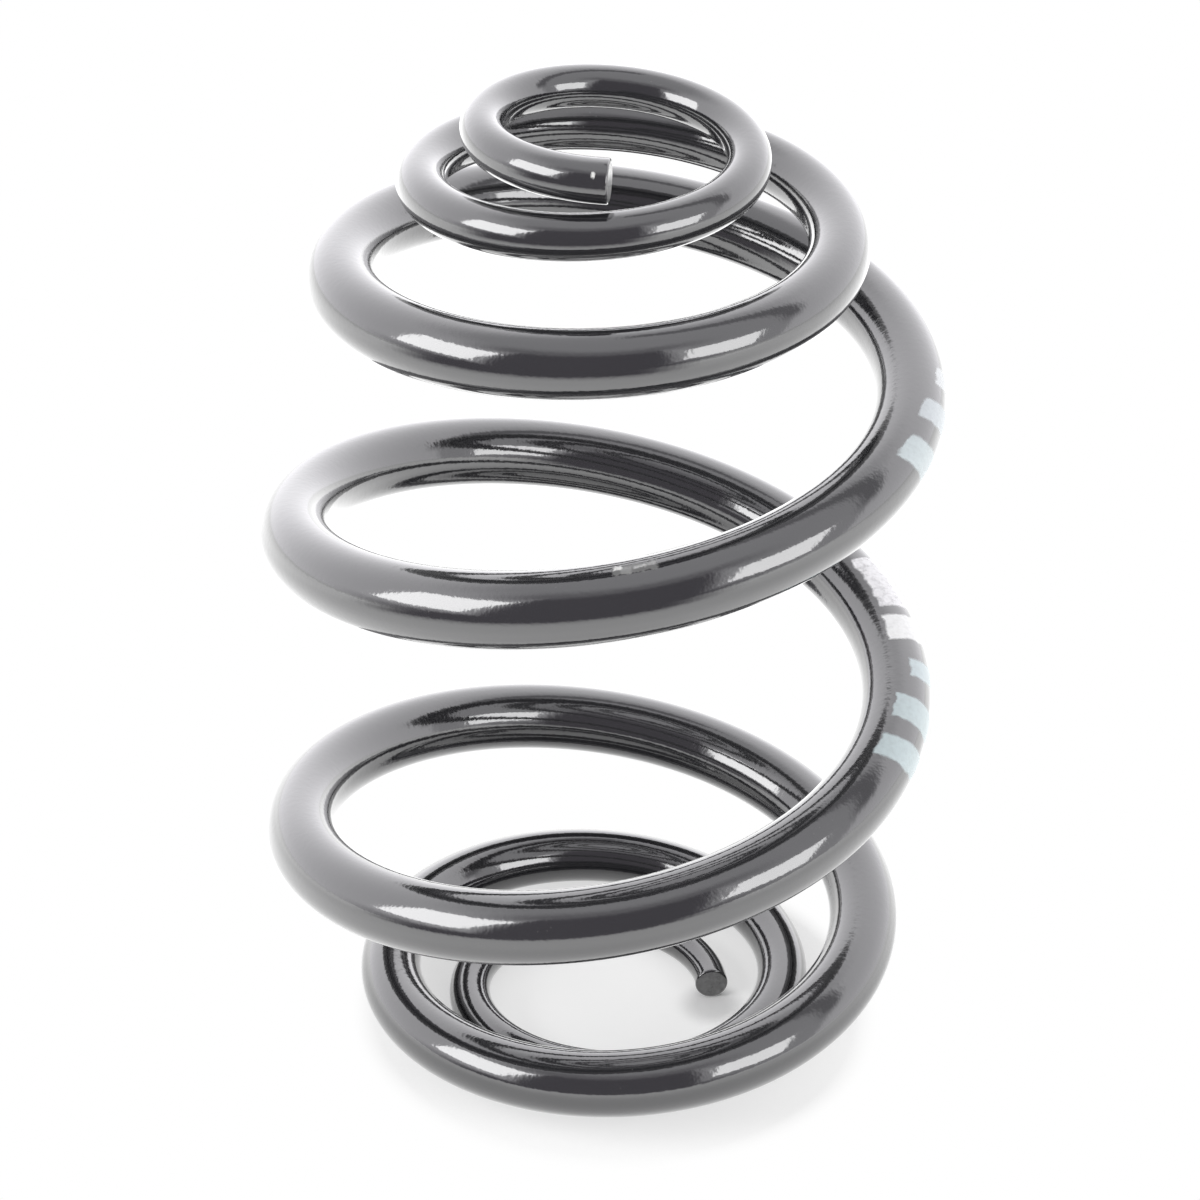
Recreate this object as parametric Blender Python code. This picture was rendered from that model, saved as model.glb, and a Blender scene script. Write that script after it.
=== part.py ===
"""Barrel coil spring: one round steel wire, thin at both ends, wound right-handed and coated black.

It stands on its bottom coil. Turns are counted from the wire's lower end upwards, and the coils
are centred on the world Z axis.
"""

import math

import bpy
import numpy as np

MM = 0.001

# Coil diameters, across the wire's centre line
BOTTOM_END_DIAMETER = 52.8 * MM
BOTTOM_COIL_DIAMETER = 40.0 * MM
LOWER_RING_INNER_DIAMETER = 82.0 * MM
LOWER_RING_OUTER_DIAMETER = 87.5 * MM
BODY_COIL_DIAMETER = 125.0 * MM
UPPER_RING_DIAMETER = 85.0 * MM
TOP_COIL_DIAMETER = 45.5 * MM
TOP_END_DIAMETER = 60.0 * MM

# Turns of wire from one of those diameters to the next
BOTTOM_HOOK_TURNS = 0.256
BOTTOM_FLARE_TURNS = 0.70
LOWER_RING_TURNS = 0.55
LOWER_CONE_TURNS = 0.65
BODY_TURNS = 1.77
UPPER_CONE_TURNS = 1.18
UPPER_RING_TURNS = 0.19
TOP_CONE_TURNS = 0.81
TOP_COIL_TURNS = 0.25
TOP_HOOK_TURNS = 0.39

# Wire diameters, and the turns over which each holds or tapers
BOTTOM_WIRE_DIAMETER = 6.8 * MM
BODY_WIRE_DIAMETER = 14.9 * MM
TOP_WIRE_DIAMETER = 8.7 * MM
BOTTOM_TAPER_TURNS = 2.00
FULL_WIRE_TURNS = 2.40

# Rise of the wire's underside in one turn
LOWER_RING_RISE = 9.0 * MM
BODY_RISE = 73.2 * MM
UPPER_CONE_RISE = 21.0 * MM

# Turns from one rise to the next: flat on the seat, opening, even, closing, easing to level
SEAT_TURNS = 0.606
LOWER_EASE_TURNS = 0.95
OPENING_TURNS = 1.13
EVEN_RISE_TURNS = 1.08
CLOSING_TURNS = 0.85
EVEN_CONE_TURNS = 0.69
TOP_EASE_TURNS = 0.73

# Air between the top end and the turn under it
TOP_TURN_GAP = 1.1 * MM

# Sideways lean of the body coils towards -X, and where it comes and goes
BODY_LEAN = 1.5 * MM
LEAN_START_TURNS = 1.80
LEAN_RUN_TURNS = 0.60
LEAN_EVEN_TURNS = 1.20
LEAN_FADE_TURNS = 2.10

# Turns of smoothing on either side of a change
DIAMETER_BLEND = 0.20
RISE_BLEND = 0.20
WIRE_BLEND = 0.30
LEAN_BLEND = 0.30

# Wire ends, cut square and deburred
BOTTOM_END_ANGLE = math.radians(-0.5)
END_CHAMFER = 0.4 * MM

# Faceting of the solid
SIDES = 16
RINGS_PER_TURN = 44
BLEND_SAMPLES = 21
RISE_SAMPLES_PER_TURN = 120

COAT_COLOUR = (0.012, 0.012, 0.014, 1.0)

DIAMETER_PLAN = (
    (0.0, BOTTOM_END_DIAMETER),
    (BOTTOM_HOOK_TURNS, BOTTOM_COIL_DIAMETER),
    (BOTTOM_FLARE_TURNS, LOWER_RING_INNER_DIAMETER),
    (LOWER_RING_TURNS, LOWER_RING_OUTER_DIAMETER),
    (LOWER_CONE_TURNS, BODY_COIL_DIAMETER),
    (BODY_TURNS, BODY_COIL_DIAMETER),
    (UPPER_CONE_TURNS, UPPER_RING_DIAMETER),
    (UPPER_RING_TURNS, UPPER_RING_DIAMETER),
    (TOP_CONE_TURNS, TOP_COIL_DIAMETER),
    (TOP_COIL_TURNS, TOP_COIL_DIAMETER),
    (TOP_HOOK_TURNS, TOP_END_DIAMETER),
)
TURNS = sum(turns for turns, _ in DIAMETER_PLAN)

# The last whole turn keeps the top wire's diameter
TOP_TAPER_TURNS = TURNS - 1.0 - BOTTOM_TAPER_TURNS - FULL_WIRE_TURNS
WIRE_PLAN = (
    (0.0, BOTTOM_WIRE_DIAMETER),
    (BOTTOM_TAPER_TURNS, BODY_WIRE_DIAMETER),
    (FULL_WIRE_TURNS, BODY_WIRE_DIAMETER),
    (TOP_TAPER_TURNS, TOP_WIRE_DIAMETER),
)

# The last turn eases to level, and still clears the turn under it
TOP_COIL_RISE = (TOP_WIRE_DIAMETER + TOP_TURN_GAP) / (1.0 - TOP_EASE_TURNS / 2.0)
UPPER_EASE_TURNS = (
    TURNS - SEAT_TURNS - LOWER_EASE_TURNS - OPENING_TURNS - EVEN_RISE_TURNS
    - CLOSING_TURNS - EVEN_CONE_TURNS - TOP_EASE_TURNS
)
RISE_PLAN = (
    (SEAT_TURNS, 0.0),
    (LOWER_EASE_TURNS, LOWER_RING_RISE),
    (OPENING_TURNS, BODY_RISE),
    (EVEN_RISE_TURNS, BODY_RISE),
    (CLOSING_TURNS, UPPER_CONE_RISE),
    (EVEN_CONE_TURNS, UPPER_CONE_RISE),
    (UPPER_EASE_TURNS, TOP_COIL_RISE),
    (TOP_EASE_TURNS, 0.0),
)

LEAN_PLAN = (
    (LEAN_START_TURNS, 0.0),
    (LEAN_RUN_TURNS, -BODY_LEAN),
    (LEAN_EVEN_TURNS, -BODY_LEAN),
    (LEAN_FADE_TURNS, 0.0),
)


def follow(plan, turns, blend):
    """Value of a plan at each of the turns: straight from one entry to the next, its corners rounded."""
    stations = np.cumsum([step for step, _ in plan])
    values = [value for _, value in plan]
    spread = np.linspace(-blend, blend, BLEND_SAMPLES)
    return np.interp(turns[:, None] + spread, stations, values).mean(axis=1)


def underside(turns):
    """Height of the wire's underside above the seat: the rise added up from the lower end."""
    fine = np.linspace(0.0, TURNS, math.ceil(TURNS * RISE_SAMPLES_PER_TURN) + 1)
    rise = follow(RISE_PLAN, fine, RISE_BLEND)
    steps = (rise[1:] + rise[:-1]) / 2.0 * np.diff(fine)
    return np.interp(turns, fine, np.concatenate(([0.0], np.cumsum(steps))))


def wire_radius(turns):
    """Half the wire's diameter at each of the turns."""
    return follow(WIRE_PLAN, turns, WIRE_BLEND) / 2.0


def centre_line(turns):
    """Points on the wire's centre line, right-handed about Z."""
    angle = BOTTOM_END_ANGLE + 2.0 * math.pi * turns
    radius = follow(DIAMETER_PLAN, turns, DIAMETER_BLEND) / 2.0
    return np.column_stack((
        radius * np.cos(angle) + follow(LEAN_PLAN, turns, LEAN_BLEND),
        radius * np.sin(angle),
        underside(turns) + wire_radius(turns),
    ))


def section_frames(turns):
    """Directions along, out of and up the wire at each of the turns, square to one another."""
    inside = np.clip(turns, 0.005, TURNS - 0.005)
    along = centre_line(inside + 0.005) - centre_line(inside - 0.005)
    along /= np.linalg.norm(along, axis=1, keepdims=True)
    out = np.cross(along, (0.0, 0.0, 1.0))
    out /= np.linalg.norm(out, axis=1, keepdims=True)
    return along, out, np.cross(out, along)


def wire_rings():
    """Rings of points round the wire from its lower end to its upper end, with a chamfer at each end."""
    lower_cut = END_CHAMFER / (math.pi * BOTTOM_END_DIAMETER)
    upper_cut = END_CHAMFER / (math.pi * TOP_END_DIAMETER)
    count = math.ceil(TURNS * RINGS_PER_TURN)
    turns = np.concatenate((
        [0.0], np.linspace(lower_cut, TURNS - upper_cut, count), [TURNS],
    ))
    radius = wire_radius(turns)
    radius[[0, -1]] -= END_CHAMFER
    _, out, up = section_frames(turns)
    around = np.arange(SIDES) * 2.0 * math.pi / SIDES - math.pi / 2.0
    offsets = (
        np.cos(around)[None, :, None] * out[:, None, :]
        + np.sin(around)[None, :, None] * up[:, None, :]
    )
    return centre_line(turns)[:, None, :] + radius[:, None, None] * offsets


def wire_faces(rings):
    """Faces of the tube between the rings, closed by a flat face at each end."""
    faces = [tuple(range(SIDES))]
    for ring in range(rings - 1):
        for side in range(SIDES):
            near = ring * SIDES + side
            next_near = ring * SIDES + (side + 1) % SIDES
            faces.append((near, near + SIDES, next_near + SIDES, next_near))
    last = (rings - 1) * SIDES
    faces.append(tuple(range(last + SIDES - 1, last - 1, -1)))
    return faces


def black_coating():
    """Smooth gloss black coating on the steel."""
    material = bpy.data.materials.new("black_coating")
    material.use_nodes = True
    shader = material.node_tree.nodes["Principled BSDF"]
    shader.inputs["Base Color"].default_value = COAT_COLOUR
    shader.inputs["Roughness"].default_value = 0.2
    shader.inputs["Coat Weight"].default_value = 0.5
    return material


def build_spring():
    """The coil spring, one solid."""
    rings = wire_rings()
    mesh = bpy.data.meshes.new("coil_spring")
    mesh.from_pydata(rings.reshape(-1, 3).tolist(), [], wire_faces(len(rings)))
    mesh.materials.append(black_coating())
    spring = bpy.data.objects.new("coil_spring", mesh)
    bpy.context.scene.collection.objects.link(spring)
    return spring


for leftover in list(bpy.data.objects):
    bpy.data.objects.remove(leftover, do_unlink=True)

build_spring()
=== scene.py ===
"""A barrel coil spring with a gloss black coating, standing on its bottom coil.

The wire is wound here again from the sizes of the solid, with a finer skin, and dressed with its
coating, its paint marks and its small wear. All lengths are in metres.
"""

import logging
import math
from dataclasses import dataclass, field
from enum import Enum
from typing import Any, Sequence, Union

import bpy
import numpy as np
from mathutils import Euler, Matrix, Vector


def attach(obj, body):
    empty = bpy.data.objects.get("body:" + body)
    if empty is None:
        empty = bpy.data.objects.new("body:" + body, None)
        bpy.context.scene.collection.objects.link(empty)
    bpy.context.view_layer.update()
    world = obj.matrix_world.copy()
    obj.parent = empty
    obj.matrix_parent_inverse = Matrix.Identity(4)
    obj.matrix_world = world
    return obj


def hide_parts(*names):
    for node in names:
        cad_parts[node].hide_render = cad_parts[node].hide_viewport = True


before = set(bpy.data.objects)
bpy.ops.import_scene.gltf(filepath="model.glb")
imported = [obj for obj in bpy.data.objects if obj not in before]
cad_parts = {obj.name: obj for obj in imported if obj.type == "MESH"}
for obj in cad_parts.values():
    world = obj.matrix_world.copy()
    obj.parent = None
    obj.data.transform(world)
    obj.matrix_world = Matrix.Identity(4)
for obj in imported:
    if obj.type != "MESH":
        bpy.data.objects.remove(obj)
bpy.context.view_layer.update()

LOG = logging.getLogger("spring")
MM = 0.001
DEGREES = 180.0 / math.pi
BLEND_SAMPLES = 21

Number = Union[int, float]
Colour = tuple[float, float, float, float]
Band = tuple[float, float]
Span = tuple[float, float, float]
Plan = Sequence[tuple[float, float]]

DARK_FRONT: Colour = (0.30, 0.28, 0.315, 1.0)


class Operation(Enum):
    """The Math node's operations that are used here."""

    ADD = "ADD"
    SUBTRACT = "SUBTRACT"
    MULTIPLY = "MULTIPLY"
    DIVIDE = "DIVIDE"
    POWER = "POWER"
    ABSOLUTE = "ABSOLUTE"
    MAXIMUM = "MAXIMUM"
    ARCSINE = "ARCSINE"
    ARCTAN2 = "ARCTAN2"


class Hand(Enum):
    """How a mark came onto the coating, and how soft that leaves its edges."""

    BRUSHED = 1.0
    SCRAPED = 0.8


class Socket:
    """One output of a shader node, which arithmetic turns into Math nodes."""

    def __init__(self, nodes: "NodeBench", link: bpy.types.NodeSocket) -> None:
        """Wraps a socket.

        Args:
            nodes: The bench that the socket's tree is built on.
            link: The output socket itself.
        """
        self.nodes = nodes
        self.link = link

    def _math(self, operation: Operation, *values: Any) -> "Socket":
        """Adds one Math node.

        Args:
            operation: The Math node's operation.
            *values: The one or two values or sockets that it takes.

        Returns:
            The node's result.
        """
        settings = {"operation": operation.value}
        return self.nodes.add("ShaderNodeMath", settings, dict(enumerate(values)))

    def __add__(self, other: Any) -> "Socket":
        """This plus the other."""
        return self._math(Operation.ADD, self, other)

    def __radd__(self, other: Any) -> "Socket":
        """The other plus this."""
        return self._math(Operation.ADD, other, self)

    def __sub__(self, other: Any) -> "Socket":
        """This less the other."""
        return self._math(Operation.SUBTRACT, self, other)

    def __rsub__(self, other: Any) -> "Socket":
        """The other less this."""
        return self._math(Operation.SUBTRACT, other, self)

    def __mul__(self, other: Any) -> "Socket":
        """This times the other."""
        return self._math(Operation.MULTIPLY, self, other)

    def __rmul__(self, other: Any) -> "Socket":
        """The other times this."""
        return self._math(Operation.MULTIPLY, other, self)

    def __truediv__(self, other: Any) -> "Socket":
        """This over the other."""
        return self._math(Operation.DIVIDE, self, other)

    def __rtruediv__(self, other: Any) -> "Socket":
        """The other over this."""
        return self._math(Operation.DIVIDE, other, self)

    def __pow__(self, other: Any) -> "Socket":
        """This to the power of the other."""
        return self._math(Operation.POWER, self, other)

    def __rpow__(self, other: Any) -> "Socket":
        """The other to the power of this."""
        return self._math(Operation.POWER, other, self)

    def __neg__(self) -> "Socket":
        """This with its sign turned."""
        return self._math(Operation.MULTIPLY, self, -1.0)

    def __abs__(self) -> "Socket":
        """This without its sign."""
        return self._math(Operation.ABSOLUTE, self)

    def most(self, other: Any) -> "Socket":
        """The larger of this and the other."""
        return self._math(Operation.MAXIMUM, self, other)

    def degrees_up(self) -> "Socket":
        """The angle whose sine this is, in degrees."""
        return self._math(Operation.ARCSINE, self) * DEGREES

    def degrees_from(self, ahead: Any) -> "Socket":
        """The angle of a point this far aside and so far ahead, in degrees all the way round."""
        return self._math(Operation.ARCTAN2, self, ahead) * DEGREES

    def step(self, start: Number, end: Number) -> "Socket":
        """A smooth rise as this goes from one value to another.

        Args:
            start: Where the result is 0.
            end: Where the result is 1, which may be the smaller number.

        Returns:
            A value from 0 to 1.
        """
        if end < start:
            return 1.0 - self.step(end, start)
        return self.nodes.add(
            "ShaderNodeMapRange",
            {"interpolation_type": "SMOOTHSTEP"},
            {"Value": self, "From Min": start, "From Max": end},
        )

    def window(self, low: Number, high: Number, soft: Number) -> "Socket":
        """1 between two values and 0 outside them.

        Args:
            low: The lower edge.
            high: The upper edge.
            soft: The width over which each edge fades.

        Returns:
            A value from 0 to 1.
        """
        half = soft / 2.0
        return self.step(low - half, low + half) * self.step(high + half, high - half)


class NodeBench:
    """Adds nodes to one tree, each from its type, its settings and what its sockets take."""

    def __init__(self, tree: bpy.types.NodeTree) -> None:
        """Takes a tree and empties it.

        Args:
            tree: The tree of a material or a world.
        """
        self.tree = tree
        tree.nodes.clear()

    def add(
        self,
        kind: str,
        settings: dict[str, Any] | None = None,
        inputs: dict[Any, Any] | None = None,
        output: Any = None,
    ) -> Socket:
        """Adds one node of any kind.

        Args:
            kind: The node's type.
            settings: Its own settings, such as an operation.
            inputs: A value or a socket for each named or numbered input.
            output: The name or number of the output wanted.

        Returns:
            That output, or the first one that is in use. A node that ends a tree gives its input.
        """
        node = self.tree.nodes.new(kind)
        for name, value in (settings or {}).items():
            setattr(node, name, value)
        for key, value in (inputs or {}).items():
            if isinstance(value, Socket):
                self.tree.links.new(value.link, node.inputs[key])
            else:
                node.inputs[key].default_value = value
        if output is not None:
            return Socket(self, node.outputs[output])
        if not node.outputs:
            return Socket(self, node.inputs[0])
        return Socket(self, next(out for out in node.outputs if out.enabled))

    def place(self, output: str = "Object") -> Socket:
        """The point shaded, in the object's metres, or in a world the way looked along."""
        return self.add("ShaderNodeTexCoord", output=output)

    def attribute(self, name: str) -> Socket:
        """A number that is written on the mesh."""
        return self.add("ShaderNodeAttribute", {"attribute_name": name}, output="Fac")

    def axes(self, vector: Socket) -> tuple[Socket, ...]:
        """The X, Y and Z of a vector."""
        split = self.add("ShaderNodeSeparateXYZ", None, {"Vector": vector}, output="X").link.node
        return tuple(Socket(self, split.outputs[axis]) for axis in "XYZ")

    def rays(self) -> tuple[Socket, Socket]:
        """Tells the rays apart.

        Returns:
            1 for camera and transmission rays, and 1 for glossy rays.
        """
        path = self.add("ShaderNodeLightPath", output="Is Camera Ray").link.node
        straight, through, glossy = (
            Socket(self, path.outputs[name])
            for name in ("Is Camera Ray", "Is Transmission Ray", "Is Glossy Ray")
        )
        return straight.most(through), glossy

    def mix_colour(self, factor: Any, first: Any, second: Any) -> Socket:
        """Lays one colour over another.

        Args:
            factor: How much of the second shows.
            first: The colour beneath.
            second: The colour above.

        Returns:
            The mixed colour.
        """
        return self.add(
            "ShaderNodeMix", {"data_type": "RGBA"}, {0: factor, 6: first, 7: second}, output=2,
        )

    def noise(self, vector: Socket, grain: Number, detail: Number = 2.0) -> Socket:
        """Cloudy noise from 0 to 1.

        Args:
            vector: Where on the surface it is read.
            grain: Clouds to the metre.
            detail: How many finer layers it has.

        Returns:
            The noise's value.
        """
        return self.add(
            "ShaderNodeTexNoise", None, {"Vector": vector, "Scale": grain, "Detail": detail},
            output=0,
        )

    def bump(self, height: Socket, strength: Number, distance: Number) -> Socket:
        """A normal that follows a height.

        Args:
            height: The height, from 0 to about 1.
            strength: How much of the relief shows.
            distance: The relief's depth.

        Returns:
            The normal.
        """
        return self.add(
            "ShaderNodeBump", None,
            {"Strength": strength, "Distance": distance, "Height": height},
            output="Normal",
        )

    def matt(self, level: Number) -> Socket:
        """A matt shader of one neutral tone."""
        return self.add("ShaderNodeBsdfDiffuse", None, {"Color": grey(level)}, output="BSDF")

    def glow(self, colour: Any) -> Socket:
        """A shader that gives off a colour as it is written."""
        return self.add("ShaderNodeEmission", None, {"Color": colour, "Strength": 1.0})

    def both(self, first: Socket, second: Socket) -> Socket:
        """The light of two shaders together."""
        return self.add("ShaderNodeAddShader", None, {0: first, 1: second})

    def mix(self, factor: Any, first: Socket, second: Socket) -> Socket:
        """One shader laid over another, as far as the factor goes."""
        return self.add("ShaderNodeMixShader", None, {0: factor, 1: first, 2: second})


def grey(level: Number) -> Colour:
    """A neutral colour of that level."""
    return (level, level, level, 1.0)


def distance(x: Socket, y: Socket, centre: Sequence[float] = (0.0, 0.0)) -> Socket:
    """How far a point of the floor is from a centre.

    Args:
        x: The point's X.
        y: The point's Y.
        centre: The centre's X and Y.

    Returns:
        The distance in metres.
    """
    across, along = x - centre[0], y - centre[1]
    return (across * across + along * along) ** 0.5


def follow(plan: Plan, turns: np.ndarray, blend: float) -> np.ndarray:
    """Reads a winding plan: straight from one entry to the next, its corners rounded.

    Args:
        plan: Turns since the last entry, and the value there.
        turns: Where along the wire it is read, counted from the lower end.
        blend: Turns of smoothing on either side.

    Returns:
        The value at each of the turns.
    """
    stations = np.cumsum([step for step, _ in plan])
    values = [value for _, value in plan]
    spread = np.linspace(-blend, blend, BLEND_SAMPLES)
    return np.interp(turns[:, None] + spread, stations, values).mean(axis=1)


@dataclass(frozen=True)
class SurfaceMark:
    """A dash of plain paint laid across the outside of the wire, a small scuff, or a painted glint.

    It runs from one place to another in turns along the wire, as they are halfway up the mark,
    and between two angles in degrees round the wire, 0 outwards and 90 upwards. It leans along
    the wire by its slant for each degree. A worn one is brushed on thinly, with the coating
    showing through.
    """

    start: float
    end: float
    lowest: float
    highest: float
    tone: tuple[float, float, float]
    slant: float = 0.0
    worn: float = 0.0
    hand: Hand = Hand.BRUSHED


def scuff(start: float, end: float, lowest: float, highest: float, level: float) -> SurfaceMark:
    """A small scraped place of one neutral tone.

    Args:
        start: Where it begins, in turns along the wire.
        end: Where it ends.
        lowest: Its lower edge, in degrees round the wire.
        highest: Its upper edge.
        level: Its tone.

    Returns:
        The mark.
    """
    return SurfaceMark(start, end, lowest, highest, (level, level, level), hand=Hand.SCRAPED)


@dataclass(frozen=True)
class GlossBlackCoat:
    """The smooth black coating, with paint dashes, faint dust, a small chip and a painted glint near
    the upper end.

    A grain is the number of clouds of noise to the metre, and a band is where such noise begins
    to count and where it counts in full.
    """

    colour: Colour = (0.015, 0.015, 0.0175, 1.0)
    cloudy: Colour = (0.021, 0.0205, 0.022, 1.0)
    cloud_grain: float = 60.0
    cloud_share: float = 0.5

    dust: Colour = (0.16, 0.155, 0.15, 1.0)
    dust_grain: float = 2600.0
    dust_band: Band = (0.74, 0.80)
    dusty_cloud: Band = (0.42, 0.70)
    dust_share: float = 0.5

    brush_grain: float = 420.0
    scrape_grain: float = 1500.0
    bare_grain: float = 700.0
    bare_band: Band = (0.40, 0.74)
    streak_grain: float = 900.0
    streak_band: Band = (0.2, 0.7)
    streak_share: float = 0.14
    stray_turns: float = 0.0035
    stray_degrees: float = 14.0
    fade_turns: float = 0.0022
    fade_degrees: float = 5.0

    roughness: float = 0.075
    cloud_roughness: float = 0.05
    dust_roughness: float = 0.2
    paint_roughness: float = 0.28
    gloss: float = 0.8
    gloss_lost_to_paint: float = 0.6
    peel_grain: float = 700.0
    fine_peel_grain: float = 1900.0
    fine_peel_share: float = 0.35

    dashes: tuple[SurfaceMark, ...] = (
        SurfaceMark(3.9222, 3.9400, -8.0, 59.0, (0.46, 0.52, 0.54), -0.00011),
        SurfaceMark(3.9540, 3.9695, -8.0, 63.0, (0.48, 0.52, 0.55), -0.00010),
        SurfaceMark(3.9820, 3.9960, -5.0, 50.0, (0.60, 0.62, 0.64), -0.00005),
        SurfaceMark(2.9320, 2.9475, -12.0, 85.0, (0.44, 0.52, 0.54), -0.00008),
        SurfaceMark(2.9590, 2.9762, -10.0, 86.0, (0.45, 0.53, 0.55), -0.00002),
        SurfaceMark(2.9922, 3.0050, 0.0, 70.0, (0.48, 0.56, 0.59), -0.00005),
        SurfaceMark(3.0188, 3.0376, 10.0, 102.0, (0.86, 0.86, 0.87), -0.00003),
        SurfaceMark(3.0440, 3.0840, 10.0, 100.0, (0.86, 0.85, 0.88), 0.0, 0.4),
    )
    chip: tuple[SurfaceMark, ...] = (
        scuff(3.7606, 3.7812, 69.0, 88.0, 0.13),
        scuff(3.7642, 3.7692, 70.0, 83.0, 0.23),
        SurfaceMark(3.7612, 3.7652, 81.0, 88.0, (0.72, 0.72, 0.71), hand=Hand.SCRAPED),
        scuff(3.7706, 3.7762, 77.5, 82.0, 0.42),
        scuff(3.7766, 3.7808, 79.0, 85.0, 0.28),
    )
    # A painted glint near the upper end: a small pale spot that stands in for a highlight, laid on
    # with a scraped mark's soft edges.
    painted_glint: SurfaceMark = SurfaceMark(
        6.7308, 6.7338, 29.0, 45.0, (0.66, 0.66, 0.65), hand=Hand.SCRAPED
    )

    def _patch(
        self, mark: SurfaceMark, turn: Socket, degrees: Socket, stray: Socket, bare: Socket
    ) -> Socket:
        """Where one mark lies.

        Args:
            mark: The mark.
            turn: Turns along the wire.
            degrees: Degrees round the wire.
            stray: How far the edges stray, from -0.5 to 0.5.
            bare: Where thin paint leaves the coating bare.

        Returns:
            1 on the mark and 0 off it.
        """
        soft = mark.hand.value
        place = turn + stray * (self.stray_turns * soft)
        if mark.slant:
            place = place - (degrees - (mark.lowest + mark.highest) / 2.0) * mark.slant
        along = place.window(mark.start, mark.end, self.fade_turns * soft)
        height = degrees + stray * (self.stray_degrees * soft)
        patch = along * height.window(mark.lowest, mark.highest, self.fade_degrees * soft)
        return patch * (1.0 - bare * mark.worn) if mark.worn else patch

    def _marked(self, bench: NodeBench, place: Socket, colour: Socket) -> tuple[Socket, Socket]:
        """Lays the dashes, the chip's scuffs and the painted glint over the coating.

        Args:
            bench: The bench of the material's tree.
            place: The point shaded.
            colour: The coating's colour.

        Returns:
            The colour with its marks, and how far the marks cover it.
        """
        turn, degrees = bench.attribute("turn"), bench.attribute("round")
        stray = {
            Hand.BRUSHED: bench.noise(place, self.brush_grain, 3.0) - 0.5,
            Hand.SCRAPED: bench.noise(place, self.scrape_grain) - 0.5,
        }
        bare = bench.noise(place, self.bare_grain, 3.0).step(*self.bare_band)
        streak = bench.noise(place, self.streak_grain).step(*self.streak_band)
        thickness = (1.0 - self.streak_share) + self.streak_share * streak
        covered = None
        for mark in (*self.dashes, *self.chip, self.painted_glint):
            patch = self._patch(mark, turn, degrees, stray[mark.hand], bare) * thickness
            colour = bench.mix_colour(patch, colour, (*mark.tone, 1.0))
            covered = patch if covered is None else covered.most(patch)
        return colour, covered

    def material(self) -> bpy.types.Material:
        """Builds the coating's material.

        Returns:
            The material.
        """
        made = bpy.data.materials.new("gloss_black_coat")
        made.use_nodes = True
        bench = NodeBench(made.node_tree)
        place = bench.place()
        cloud = bench.noise(place, self.cloud_grain, 4.0)
        colour = bench.mix_colour(cloud * self.cloud_share, self.colour, self.cloudy)
        specks = bench.noise(place, self.dust_grain, 1.0).step(*self.dust_band)
        dust = specks * cloud.step(*self.dusty_cloud) * self.dust_share
        colour = bench.mix_colour(dust, colour, self.dust)
        colour, painted = self._marked(bench, place, colour)
        roughness = self.roughness + self.cloud_roughness * cloud + self.dust_roughness * dust
        fine_peel = bench.noise(place, self.fine_peel_grain, 0.0)
        peel = bench.noise(place, self.peel_grain, 1.0) + self.fine_peel_share * fine_peel
        shader = bench.add("ShaderNodeBsdfPrincipled", None, {
            "Base Color": colour,
            "Roughness": roughness + painted * self.paint_roughness,
            "IOR": 1.7,
            "Coat Weight": self.gloss - self.gloss_lost_to_paint * painted,
            "Coat Roughness": 0.03,
            "Coat IOR": 1.5,
            "Normal": bench.bump(peel, strength=0.05, distance=0.6 * MM),
        })
        bench.add("ShaderNodeOutputMaterial", None, {"Surface": shader})
        return made


@dataclass(frozen=True)
class CutEndCoat:
    """The same coating over the sawn end of the wire, duller and a little uneven."""

    colour: Colour = (0.08, 0.08, 0.081, 1.0)
    rubbed: Colour = (0.15, 0.15, 0.15, 1.0)
    rubbed_band: Band = (0.4, 0.75)
    cloud_grain: float = 700.0
    pit_grain: float = 1400.0
    roughness: float = 0.22
    cloud_roughness: float = 0.15

    def material(self) -> bpy.types.Material:
        """Builds the end's material.

        Returns:
            The material.
        """
        made = bpy.data.materials.new("cut_end_coat")
        made.use_nodes = True
        bench = NodeBench(made.node_tree)
        place = bench.place()
        cloud = bench.noise(place, self.cloud_grain, 3.0)
        pits = bench.noise(place, self.pit_grain)
        shader = bench.add("ShaderNodeBsdfPrincipled", None, {
            "Base Color": bench.mix_colour(cloud.step(*self.rubbed_band), self.colour, self.rubbed),
            "Roughness": self.roughness + self.cloud_roughness * cloud,
            "IOR": 1.6,
            "Coat Weight": 0.5,
            "Coat Roughness": 0.10,
            "Normal": bench.bump(pits, strength=0.3, distance=0.4 * MM),
        })
        bench.add("ShaderNodeOutputMaterial", None, {"Surface": shader})
        return made


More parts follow.
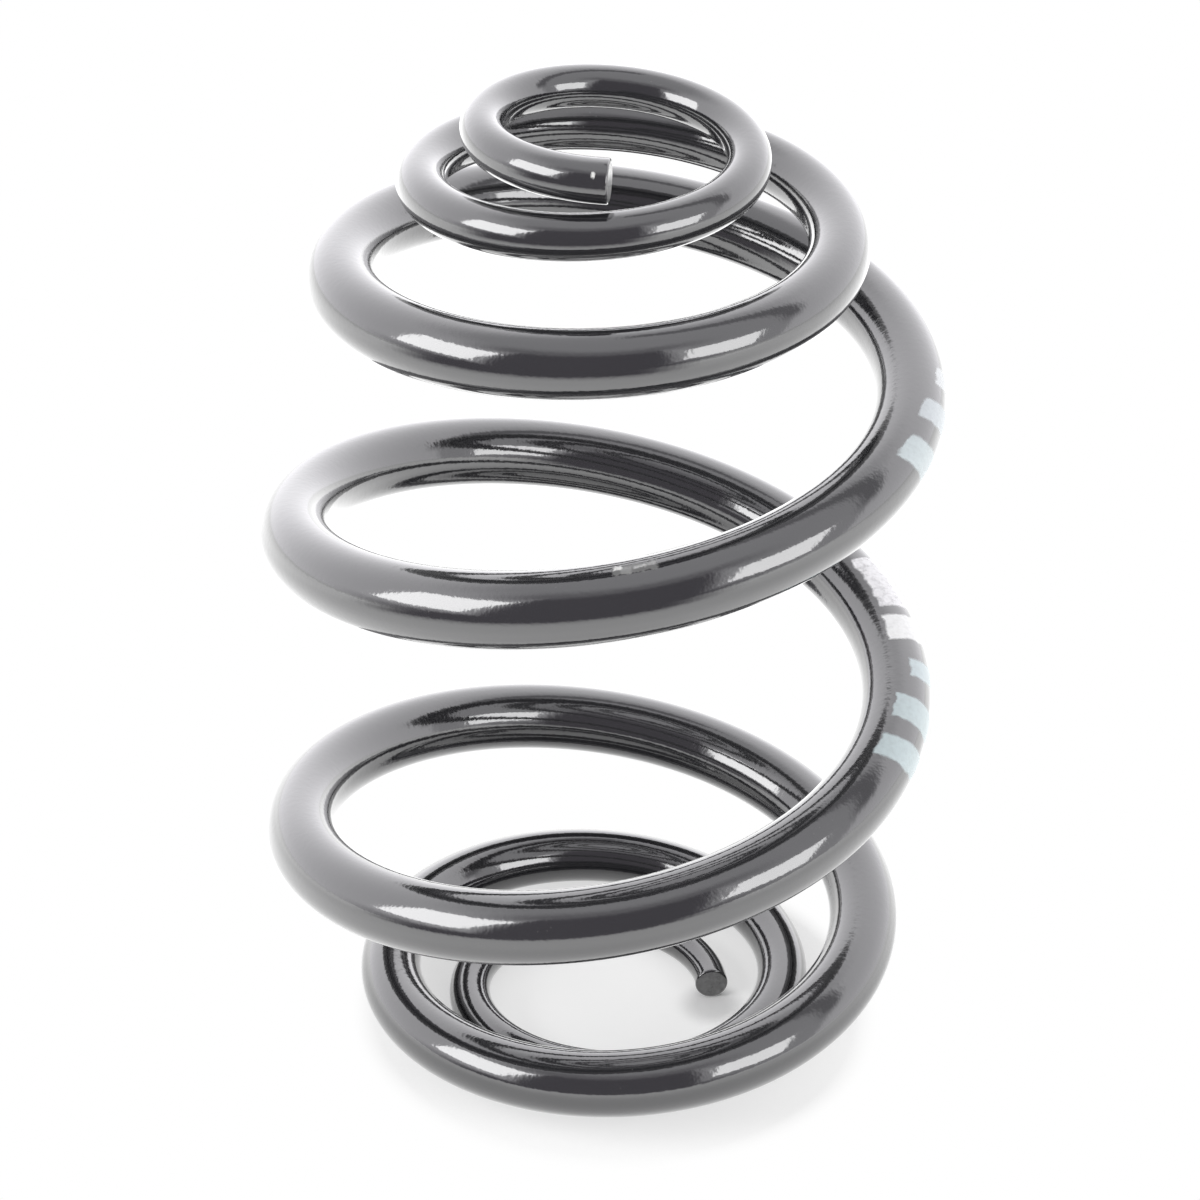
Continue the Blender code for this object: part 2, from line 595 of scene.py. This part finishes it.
@dataclass
class BarrelCoil:
    """The whole spring: one tapered round wire, wound right-handed from its lower end upwards.

    Each plan is a row of entries, with the turns since the last entry and the value there: the
    coil's diameter across the centre line, the wire's diameter, and the sideways lean. The rise
    of the wire's underside in one turn is given with the turns from one rise to the next, and
    over the top ease the wire comes level.
    """

    diameters: Plan = (
        (0.0, 52.8 * MM), (0.256, 40.0 * MM), (0.70, 82.0 * MM), (0.55, 87.5 * MM),
        (0.65, 125.0 * MM), (1.77, 125.0 * MM), (1.18, 85.0 * MM), (0.19, 85.0 * MM),
        (0.81, 45.5 * MM), (0.25, 45.5 * MM), (0.39, 60.0 * MM),
    )
    wire: Plan = ((0.0, 6.8 * MM), (2.0, 14.9 * MM), (2.4, 14.9 * MM), (1.346, 8.7 * MM))
    lean: Plan = ((1.8, 0.0), (0.6, -1.5 * MM), (1.2, -1.5 * MM), (2.1, 0.0))
    rise_steps: tuple[float, ...] = (0.606, 0.95, 1.13, 1.08, 0.85, 0.69)
    rises: tuple[float, ...] = (0.0, 9.0 * MM, 73.2 * MM, 73.2 * MM, 21.0 * MM, 21.0 * MM)
    top_ease: float = 0.73
    top_gap: float = 1.1 * MM
    diameter_blend: float = 0.20
    rise_blend: float = 0.20
    wire_blend: float = 0.30
    lean_blend: float = 0.30
    end_angle: float = math.radians(-0.5)
    edge: float = 0.45 * MM
    edge_steps: tuple[float, ...] = (0.0, 0.03, 0.12, 0.35, 0.65, 1.0)
    rings_per_turn: int = 236
    rise_samples_per_turn: int = 120
    sides: int = 48
    coat: GlossBlackCoat = field(default_factory=GlossBlackCoat)
    end_coat: CutEndCoat = field(default_factory=CutEndCoat)
    turns: float = field(init=False)
    climb: tuple[np.ndarray, np.ndarray] = field(init=False)

    def __post_init__(self) -> None:
        """Works out the turns, and how high the wire has climbed at each of them."""
        self.turns = sum(step for step, _ in self.diameters)
        top_rise = (self.wire[-1][1] + self.top_gap) / (1.0 - self.top_ease / 2.0)
        last_step = self.turns - sum(self.rise_steps) - self.top_ease
        rise = (*zip(self.rise_steps, self.rises), (last_step, top_rise), (self.top_ease, 0.0))
        fine = np.linspace(0.0, self.turns, math.ceil(self.turns * self.rise_samples_per_turn) + 1)
        rate = follow(rise, fine, self.rise_blend)
        climbed = np.cumsum((rate[1:] + rate[:-1]) / 2.0 * np.diff(fine))
        self.climb = (fine, np.concatenate(([0.0], climbed)))

    def wire_radius(self, turns: np.ndarray) -> np.ndarray:
        """Half the wire's diameter at each of the turns."""
        return follow(self.wire, turns, self.wire_blend) / 2.0

    def centre_line(self, turns: np.ndarray) -> np.ndarray:
        """Points on the wire's centre line.

        Args:
            turns: Turns from the lower end.

        Returns:
            One point for each of the turns.
        """
        angle = self.end_angle + 2.0 * math.pi * turns
        radius = follow(self.diameters, turns, self.diameter_blend) / 2.0
        return np.column_stack((
            radius * np.cos(angle) + follow(self.lean, turns, self.lean_blend),
            radius * np.sin(angle),
            np.interp(turns, *self.climb) + self.wire_radius(turns),
        ))

    def frames(self, turns: np.ndarray, reach: float = 0.005) -> tuple[np.ndarray, np.ndarray]:
        """Directions out of and up the wire, square to it and to each other.

        Args:
            turns: Turns from the lower end.
            reach: Turns to either side from which the wire's direction is taken.

        Returns:
            The two directions at each of the turns.
        """
        inside = np.clip(turns, reach, self.turns - reach)
        along = self.centre_line(inside + reach) - self.centre_line(inside - reach)
        along /= np.linalg.norm(along, axis=1, keepdims=True)
        out = np.cross(along, (0.0, 0.0, 1.0))
        out /= np.linalg.norm(out, axis=1, keepdims=True)
        return out, np.cross(out, along)

    def _stations(self) -> tuple[np.ndarray, np.ndarray]:
        """Where the rings of the skin lie.

        Returns:
            The turns of each ring, and how far each is drawn in at the rounded ends.
        """
        rounding = np.array(self.edge_steps)
        drawn = 1.0 - np.sqrt(1.0 - (1.0 - rounding) ** 2)
        lower = self.edge / (math.pi * self.diameters[0][1])
        upper = self.edge / (math.pi * self.diameters[-1][1])
        count = math.ceil(self.turns * self.rings_per_turn)
        body = np.linspace(lower, self.turns - upper, count)[1:-1]
        turns = np.concatenate((rounding * lower, body, self.turns - rounding[::-1] * upper))
        inset = np.concatenate((drawn, np.zeros(len(body)), drawn[::-1])) * self.edge
        return turns, inset

    def _points(self, turns: np.ndarray, inset: np.ndarray) -> np.ndarray:
        """The points of the skin, ring after ring.

        Args:
            turns: The turns of each ring.
            inset: How far each ring is drawn in.

        Returns:
            One point to a row.
        """
        out, up = self.frames(turns)
        around = np.arange(self.sides) * 2.0 * math.pi / self.sides - math.pi / 2.0
        offsets = (
            np.cos(around)[None, :, None] * out[:, None, :]
            + np.sin(around)[None, :, None] * up[:, None, :]
        )
        radius = self.wire_radius(turns) - inset
        return (self.centre_line(turns)[:, None, :] + radius[:, None, None] * offsets).reshape(-1, 3)

    def _faces(self, rings: int) -> list[tuple[int, ...]]:
        """The faces of the skin, with the two flat ends last.

        Args:
            rings: How many rings there are.

        Returns:
            The corners of each face.
        """
        sides = self.sides
        faces: list[tuple[int, ...]] = []
        for ring in range(rings - 1):
            near, far = ring * sides, (ring + 1) * sides
            for side in range(sides):
                after = (side + 1) % sides
                faces.append((near + side, far + side, far + after, near + after))
        last = (rings - 1) * sides
        faces.append(tuple(range(sides)))
        faces.append(tuple(range(last + sides - 1, last - 1, -1)))
        return faces

    def _mark_places(self, mesh: bpy.types.Mesh, turns: np.ndarray) -> None:
        """Writes turns along and degrees round the wire on each corner of the skin.

        Args:
            mesh: The skin.
            turns: The turns of each ring.
        """
        sides = self.sides
        corners = np.empty(len(mesh.loops), dtype=np.int32)
        mesh.loops.foreach_get("vertex_index", corners)
        side = (corners % sides).astype(float)
        quads = (len(turns) - 1) * sides * 4
        wrap = np.zeros(len(corners), dtype=bool)
        wrap[:quads] = np.tile([False, False, True, True], quads // 4)
        side[wrap & (side == 0)] = sides
        degrees = side * 360.0 / sides - 90.0
        for name, values in (("turn", turns[corners // sides]), ("round", degrees)):
            layer = mesh.attributes.new(name, "FLOAT", "CORNER")
            layer.data.foreach_set("value", values.astype(np.float32))

    def skin(self) -> bpy.types.Object:
        """Builds the wire's skin, with its places written on it and its two finishes.

        Returns:
            The spring's object.
        """
        turns, inset = self._stations()
        faces = self._faces(len(turns))
        mesh = bpy.data.meshes.new("spring_wire")
        mesh.from_pydata(self._points(turns, inset).tolist(), [], faces)
        self._mark_places(mesh, turns)
        mesh.polygons.foreach_set("use_smooth", [True] * len(faces))
        mesh.materials.append(self.coat.material())
        mesh.materials.append(self.end_coat.material())
        for end in (mesh.polygons[-2], mesh.polygons[-1]):
            end.use_smooth = False
            end.material_index = 1
        spring = bpy.data.objects.new("spring_wire", mesh)
        bpy.context.scene.collection.objects.link(spring)
        return spring

    def build(self) -> list[bpy.types.Object]:
        """Builds the spring, rides it on the body and takes the solid's place.

        Returns:
            The pieces made.
        """
        spring = self.skin()
        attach(spring, "root")
        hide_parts("coil_spring")
        return [spring]


@dataclass(frozen=True)
class SoftBox:
    """A square lamp with a white front, out of the camera's sight.

    Its angles are in degrees: from the front towards the right, upwards, and about its own middle.
    """

    name: str
    azimuth: float
    elevation: float
    width: float
    height: float
    radiance: float
    roll: float = 0.0
    distance: float = 2.0

    def build(self, aim: Vector) -> bpy.types.Object:
        """Hangs the lamp.

        Args:
            aim: The point that it faces.

        Returns:
            The lamp's object.
        """
        lamp = bpy.data.lights.new(self.name, "AREA")
        lamp.shape = "RECTANGLE"
        lamp.size = self.width
        lamp.size_y = self.height
        lamp.energy = self.radiance * math.pi * self.width * self.height
        made = bpy.data.objects.new(self.name, lamp)
        bpy.context.scene.collection.objects.link(made)
        azimuth, elevation = math.radians(self.azimuth), math.radians(self.elevation)
        back = Vector((
            math.sin(azimuth) * math.cos(elevation),
            -math.cos(azimuth) * math.cos(elevation),
            math.sin(elevation),
        ))
        made.location = aim + back * self.distance
        facing = Euler((math.pi / 2.0 - elevation, 0.0, azimuth)).to_matrix()
        rolled = facing @ Matrix.Rotation(math.radians(self.roll), 3, "Z")
        made.rotation_euler = rolled.to_euler()
        made.visible_camera = False
        return made


@dataclass(frozen=True)
class Tent:
    """The white tent round the spring, with a dark front and a dark seam at the right.

    The gloss mirrors it, matt surfaces get its plain light, and the camera sees it white. Angles
    are in degrees from the front towards the right, and upwards. A band is where a part begins to
    show and where it shows in full, and a span is its two edges and how softly they fade. The
    seam follows a great circle, square to its normal, and the side wall lies beyond it: the
    side's edge and the seam's width are sines of the angle from that circle.
    """

    wall: Colour = (2.27, 2.25, 2.32, 1.0)
    plain: float = 0.66

    side: Colour = (1.45, 1.44, 1.49, 1.0)
    side_edge: Band = (-0.03, 0.05)
    side_start: Band = (20.0, 50.0)

    ceiling: Colour = (1.42, 1.41, 1.46, 1.0)
    ceiling_edge: Band = (44.0, 66.0)

    seam: Colour = (0.60, 0.59, 0.62, 1.0)
    seam_normal: tuple[float, float, float] = (-0.200, -0.907, 0.370)
    seam_width: Band = (0.13, 0.04)
    seam_start: Band = (72.0, 92.0)
    seam_foot: Band = (14.0, 34.0)

    front_span: Span = (-45.0, 30.0, 10.0)
    front_top: Band = (72.0, 44.0)
    valance_span: Span = (-66.0, 44.0, 44.0)
    valance_rise: Span = (46.0, 62.0, 14.0)
    valance_share: float = 0.7
    foot_left: Band = (-104.0, -54.0)
    foot_right: Band = (60.0, 22.0)
    foot_top: Band = (12.0, 2.0)

    def _mirrored(self, bench: NodeBench) -> Socket:
        """The tent as the gloss shows it.

        Args:
            bench: The bench of the world's tree.

        Returns:
            The tent's colour.
        """
        x, y, z = bench.axes(bench.place("Generated"))
        azimuth, rise = x.degrees_from(-y), z.degrees_up()
        across, along, up = self.seam_normal
        beyond = x * across + y * along + z * up
        beside = beyond.step(*self.side_edge) * azimuth.step(*self.side_start)
        colour = bench.mix_colour(beside, self.wall, self.side)
        colour = bench.mix_colour(rise.step(*self.ceiling_edge), colour, self.ceiling)
        seam = abs(beyond).step(*self.seam_width) * azimuth.step(*self.seam_start)
        colour = bench.mix_colour(seam * rise.step(*self.seam_foot), colour, self.seam)
        front = azimuth.window(*self.front_span) * rise.step(*self.front_top)
        valance = azimuth.window(*self.valance_span) * rise.window(*self.valance_rise)
        foot = azimuth.step(*self.foot_left) * azimuth.step(*self.foot_right)
        foot = foot * rise.step(*self.foot_top)
        dark = front.most(valance * self.valance_share).most(foot)
        return bench.mix_colour(dark, colour, DARK_FRONT)

    def build(self) -> None:
        """Makes the tent the scene's world."""
        world = bpy.data.worlds.new("white_tent")
        world.use_nodes = True
        bpy.context.scene.world = world
        bench = NodeBench(world.node_tree)
        seen, glossy = bench.rays()
        colour = bench.mix_colour(glossy, grey(self.plain), self._mirrored(bench))
        colour = bench.mix_colour(seen, colour, grey(1.0))
        shader = bench.add("ShaderNodeBackground", None, {"Color": colour, "Strength": 1.0})
        bench.add("ShaderNodeOutputWorld", None, {"Surface": shader})


@dataclass(frozen=True)
class PaleFloor:
    """The pale floor, which is white round the spring and keeps its shadow under it.

    A shade is how far from its centre the floor keeps the shadow, from all of it to none: one
    lies round the spring and one round the end of its lower hook. The other bands are distances
    from the spring's middle over which the floor's painted glow, which only the gloss shows,
    changes.
    """

    half: float = 6.0
    tone: float = 0.88
    lift: float = 0.22
    white_share: float = 0.55
    hook_end: tuple[float, float] = (25.0 * MM, -3.0 * MM)
    hook_shade: Band = (3.0 * MM, 9.0 * MM)
    shade_centre: tuple[float, float] = (4.0 * MM, -4.0 * MM)
    shade: Band = (46.0 * MM, 58.0 * MM)
    near_glow: float = 0.50
    middle_glow: float = 0.55
    middle: Band = (60.0 * MM, 180.0 * MM)
    far_glow: float = 0.25
    far: Band = (300.0 * MM, 600.0 * MM)
    brightest: float = 1.5
    dark_span: Span = (-74.0, 30.0, 30.0)
    dark_start: Band = (300.0 * MM, 750.0 * MM)

    def _seen(self, bench: NodeBench, x: Socket, y: Socket, matt: Socket) -> Socket:
        """The floor as the camera sees it.

        Args:
            bench: The bench of the floor's tree.
            x: The point's X.
            y: The point's Y.
            matt: The plain matt floor.

        Returns:
            The shader.
        """
        white = self.white_share * distance(x, y, self.hook_end).step(*self.hook_shade)
        white = white.most(distance(x, y, self.shade_centre).step(*self.shade))
        return bench.mix(white, bench.both(matt, bench.matt(self.lift)), bench.glow(grey(1.0)))

    def _mirrored(self, bench: NodeBench, x: Socket, y: Socket, matt: Socket) -> Socket:
        """The floor as the gloss shows it, a painted reflection: a glow that is lighter further off,
        and dark towards the tent's front.

        Args:
            bench: The bench of the floor's tree.
            x: The point's X.
            y: The point's Y.
            matt: The plain matt floor.

        Returns:
            The shader.
        """
        away = distance(x, y)
        level = self.near_glow + self.middle_glow * away.step(*self.middle)
        level = level + self.far_glow * away.step(*self.far)
        colour = bench.mix_colour(level / self.brightest, grey(0.0), grey(self.brightest))
        dark = x.degrees_from(-y).window(*self.dark_span) * away.step(*self.dark_start)
        return bench.mix(dark, bench.both(matt, bench.glow(colour)), bench.glow(DARK_FRONT))

    def material(self) -> bpy.types.Material:
        """Builds the floor's material.

        Returns:
            The material.
        """
        made = bpy.data.materials.new("pale_floor")
        made.use_nodes = True
        bench = NodeBench(made.node_tree)
        x, y, _ = bench.axes(bench.place())
        matt = bench.matt(self.tone)
        seen, glossy = bench.rays()
        shader = bench.mix(seen, matt, self._seen(bench, x, y, matt))
        shader = bench.mix(glossy, shader, self._mirrored(bench, x, y, matt))
        bench.add("ShaderNodeOutputMaterial", None, {"Surface": shader})
        return made

    def build(self) -> None:
        """Lays the floor."""
        half = self.half
        mesh = bpy.data.meshes.new("floor")
        corners = [(-half, -half, 0.0), (half, -half, 0.0), (half, half, 0.0), (-half, half, 0.0)]
        mesh.from_pydata(corners, [], [(0, 1, 2, 3)])
        mesh.materials.append(self.material())
        floor = bpy.data.objects.new("floor", mesh)
        bpy.context.scene.collection.objects.link(floor)


@dataclass(frozen=True)
class PhotoCamera:
    """The camera, where the photograph was taken from.

    Its elevation and roll are in radians, and its focal length is in pixels of the photograph.
    """

    elevation: float = 0.52752
    roll: float = 0.020839
    distance: float = 769.23 * MM
    aim: tuple[float, float, float] = (-1.17 * MM, 0.0, 100.39 * MM)
    focal_pixels: float = 3724.3
    frame_pixels: float = 1200.0
    sensor_width: float = 36.0
    nearest: float = 20.0 * MM

    def build(self) -> None:
        """Places the camera and makes it the scene's own."""
        lens = bpy.data.cameras.new("camera")
        lens.sensor_width = self.sensor_width
        lens.lens = self.focal_pixels / self.frame_pixels * self.sensor_width
        lens.clip_start = self.nearest
        made = bpy.data.objects.new("camera", lens)
        bpy.context.scene.collection.objects.link(made)
        tilt = Matrix.Rotation(math.pi / 2.0 - self.elevation, 4, "X")
        turn = tilt @ Matrix.Rotation(self.roll, 4, "Z")
        back = Vector((0.0, -math.cos(self.elevation), math.sin(self.elevation)))
        made.matrix_world = Matrix.Translation(Vector(self.aim) + back * self.distance) @ turn
        bpy.context.scene.camera = made


@dataclass(frozen=True)
class Studio:
    """Everything round the spring: the camera, the tent, the floor and the two lamps."""

    lamps_aim: tuple[float, float, float] = (0.0, 0.0, 100.0 * MM)
    camera: PhotoCamera = field(default_factory=PhotoCamera)
    tent: Tent = field(default_factory=Tent)
    floor: PaleFloor = field(default_factory=PaleFloor)
    lamps: tuple[SoftBox, ...] = (
        SoftBox("soft_box_left", -66.3, 28.0, 1.18, 1.08, 5.8),
        SoftBox("soft_box_right", 51.2, 21.8, 1.06, 1.00, 5.0, -14.0),
    )

    def build(self) -> None:
        """Sets up the studio."""
        self.camera.build()
        self.tent.build()
        self.floor.build()
        for lamp in self.lamps:
            lamp.build(Vector(self.lamps_aim))
        bpy.context.scene.view_settings.view_transform = "Standard"


def main() -> None:
    """Builds the studio and the spring, and reports each piece."""
    logging.basicConfig(level=logging.INFO, format="%(name)s: %(message)s")
    Studio().build()
    for piece in BarrelCoil().build():
        LOG.info("%s: %d faces", piece.name, len(piece.data.polygons))


if __name__ == "__main__":
    main()
